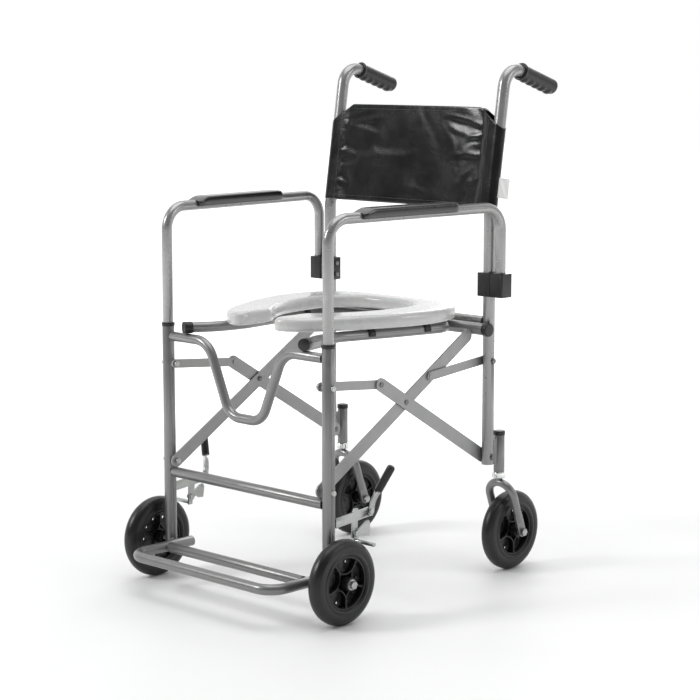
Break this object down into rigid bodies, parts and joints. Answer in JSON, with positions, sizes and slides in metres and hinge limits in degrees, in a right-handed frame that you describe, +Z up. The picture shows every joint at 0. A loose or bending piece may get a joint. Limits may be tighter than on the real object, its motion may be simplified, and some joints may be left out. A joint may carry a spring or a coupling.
{
  "type": "commode chair",
  "caption": "Folding wheeled commode and shower chair with open-front seat, lift-off armrests, sling back, push handles, footrest and wheel brakes.",
  "frame": {"origin": "on the floor, below the centre of the chair's overall box", "axes": "+X to the sitter's left, +Y towards the push handles at the rear, +Z up"},
  "size_m": [0.542, 0.7304, 0.9491],
  "materials": {
    "frame_paint": "satin",
    "hoop_paint": "satin",
    "zinc": "satin",
    "chrome_ring": "polished",
    "black_plastic": "satin",
    "grip_rubber": "matte",
    "tyre_rubber": "matte",
    "hub_plastic": "satin",
    "seat_plastic": "gloss",
    "vinyl": "gloss"
  },
  "bodies": {
    "front_frame": {"front_upright_l": "frame_paint", "front_upright_r": "frame_paint", "front_knee_tube": "frame_paint", "lower_cross_tube": "frame_paint", "footrest_hoop": "frame_paint", "footrest_cross_tube": "frame_paint", "front_fasteners": "zinc", "brake_bracket_l": "zinc", "brake_bracket_r": "zinc", "armrest_collars": "black_plastic"},
    "lift_frame": {"lift_bar_l": "frame_paint", "lift_bar_r": "frame_paint", "scissor_rivets": "zinc", "seat_cross_tube": "frame_paint", "seat_rail_loop": "frame_paint", "seat_tube_caps": "black_plastic", "seat_clips": "black_plastic"},
    "toilet_seat_body": {"toilet_seat": "seat_plastic"},
    "cross_bars": {"cross_bar_l": "frame_paint", "cross_bar_r": "frame_paint", "cross_bar_rivets": "zinc"},
    "front_links": {"front_link_l": "frame_paint", "front_link_r": "frame_paint"},
    "rear_links": {"rear_link_l": "frame_paint", "rear_link_r": "frame_paint"},
    "rear_frame": {"rear_post_l": "hoop_paint", "rear_post_r": "hoop_paint", "rear_cross_tube": "hoop_paint", "push_grip_l": "grip_rubber", "push_grip_r": "grip_rubber", "armrest_socket_l": "black_plastic", "armrest_socket_r": "black_plastic", "rear_fasteners": "zinc", "backrest_cover": "vinyl", "caster_housing_l": "frame_paint", "caster_housing_r": "frame_paint", "stem_caps": "black_plastic", "stem_collars": "chrome_ring"},
    "armrest_l": {"armrest_hoop_l": "hoop_paint", "armrest_pad_l": "black_plastic"},
    "front_wheel_l": {"tyre_front_l": "tyre_rubber", "hub_front_l": "hub_plastic"},
    "caster_l": {"caster_fork_l": "frame_paint", "caster_axle_l": "zinc"},
    "rear_wheel_l": {"tyre_rear_l": "tyre_rubber", "hub_rear_l": "hub_plastic"},
    "brake_lever_l_body": {"brake_lever_l": "zinc", "brake_grip_l": "grip_rubber"},
    "brake_shoe_l_body": {"brake_shoe_l": "zinc"},
    "armrest_r": {"armrest_hoop_r": "hoop_paint", "armrest_pad_r": "black_plastic"},
    "front_wheel_r": {"tyre_front_r": "tyre_rubber", "hub_front_r": "hub_plastic"},
    "caster_r": {"caster_fork_r": "frame_paint", "caster_axle_r": "zinc"},
    "rear_wheel_r": {"tyre_rear_r": "tyre_rubber", "hub_rear_r": "hub_plastic"},
    "brake_lever_r_body": {"brake_lever_r": "zinc", "brake_grip_r": "grip_rubber"},
    "brake_shoe_r_body": {"brake_shoe_r": "zinc"}
  },
  "joints": [
    {"name": "chair_fold", "type": "hinge", "parent": "front_frame", "child": "lift_frame", "pos_m": [0, -0.23971, 0.225], "axis": [1, 0, 0], "range_deg": [0, 27]},
    {"name": "cross_bars_turn", "type": "hinge", "parent": "lift_frame", "child": "cross_bars", "pos_m": [0, -0.02846, 0.35295], "axis": [1, 0, 0], "range_deg": [-67.71, 0]},
    {"name": "rear_frame_turn", "type": "hinge", "parent": "cross_bars", "child": "rear_frame", "pos_m": [0, 0.18279, 0.225], "axis": [1, 0, 0], "range_deg": [0, 27.2]},
    {"name": "front_links_turn", "type": "hinge", "parent": "front_frame", "child": "front_links", "pos_m": [0, -0.23971, 0.4057], "axis": [1, 0, 0], "range_deg": [0, 49.06]},
    {"name": "rear_links_turn", "type": "hinge", "parent": "rear_frame", "child": "rear_links", "pos_m": [0, 0.18279, 0.4057], "axis": [1, 0, 0], "range_deg": [-49.06, 0]},
    {"name": "toilet_seat_lift", "type": "slide", "parent": "lift_frame", "child": "toilet_seat_body", "axis": [0, 0, 1], "range_m": [0, 0.06]},
    {"name": "armrest_l_lift", "type": "slide", "parent": "front_frame", "child": "armrest_l", "axis": [0, 0, 1], "range_m": [0, 0.05]},
    {"name": "front_wheel_l_spin", "type": "hinge", "parent": "front_frame", "child": "front_wheel_l", "pos_m": [0.241, -0.24371, 0.075], "axis": [1, 0, 0], "continuous": true},
    {"name": "caster_l_swivel", "type": "hinge", "parent": "rear_frame", "child": "caster_l", "pos_m": [0.204, 0.21629, 0.2], "axis": [0, 0, 1], "continuous": true},
    {"name": "rear_wheel_l_spin", "type": "hinge", "parent": "caster_l", "child": "rear_wheel_l", "pos_m": [0.204, 0.25029, 0.075], "axis": [1, 0, 0], "continuous": true},
    {"name": "brake_l_lever", "type": "hinge", "parent": "front_frame", "child": "brake_lever_l_body", "pos_m": [0.2158, -0.14571, 0.1778], "axis": [1, 0, 0], "range_deg": [0, 36]},
    {"name": "brake_l_shoe", "type": "hinge", "parent": "front_frame", "child": "brake_shoe_l_body", "pos_m": [0.2158, -0.18321, 0.1445], "axis": [1, 0, 0], "range_deg": [-18, 0]},
    {"name": "armrest_r_lift", "type": "slide", "parent": "front_frame", "child": "armrest_r", "axis": [0, 0, 1], "range_m": [0, 0.05]},
    {"name": "front_wheel_r_spin", "type": "hinge", "parent": "front_frame", "child": "front_wheel_r", "pos_m": [-0.241, -0.24371, 0.075], "axis": [1, 0, 0], "continuous": true},
    {"name": "caster_r_swivel", "type": "hinge", "parent": "rear_frame", "child": "caster_r", "pos_m": [-0.204, 0.21629, 0.2], "axis": [0, 0, 1], "continuous": true},
    {"name": "rear_wheel_r_spin", "type": "hinge", "parent": "caster_r", "child": "rear_wheel_r", "pos_m": [-0.204, 0.25029, 0.075], "axis": [1, 0, 0], "continuous": true},
    {"name": "brake_r_lever", "type": "hinge", "parent": "front_frame", "child": "brake_lever_r_body", "pos_m": [-0.2158, -0.14571, 0.1778], "axis": [1, 0, 0], "range_deg": [0, 36]},
    {"name": "brake_r_shoe", "type": "hinge", "parent": "front_frame", "child": "brake_shoe_r_body", "pos_m": [-0.2158, -0.18321, 0.1445], "axis": [1, 0, 0], "range_deg": [-18, 0]}
  ],
  "couplings": [
    {"joint": "cross_bars_turn", "follows": "chair_fold", "ratio": -2.5005},
    {"joint": "rear_frame_turn", "follows": "chair_fold", "ratio": 1},
    {"joint": "front_links_turn", "follows": "chair_fold", "ratio": 1.8096},
    {"joint": "rear_links_turn", "follows": "chair_fold", "ratio": -1.8096},
    {"joint": "brake_l_shoe", "follows": "brake_l_lever", "ratio": -0.5},
    {"joint": "brake_r_shoe", "follows": "brake_r_lever", "ratio": -0.5}
  ]
}
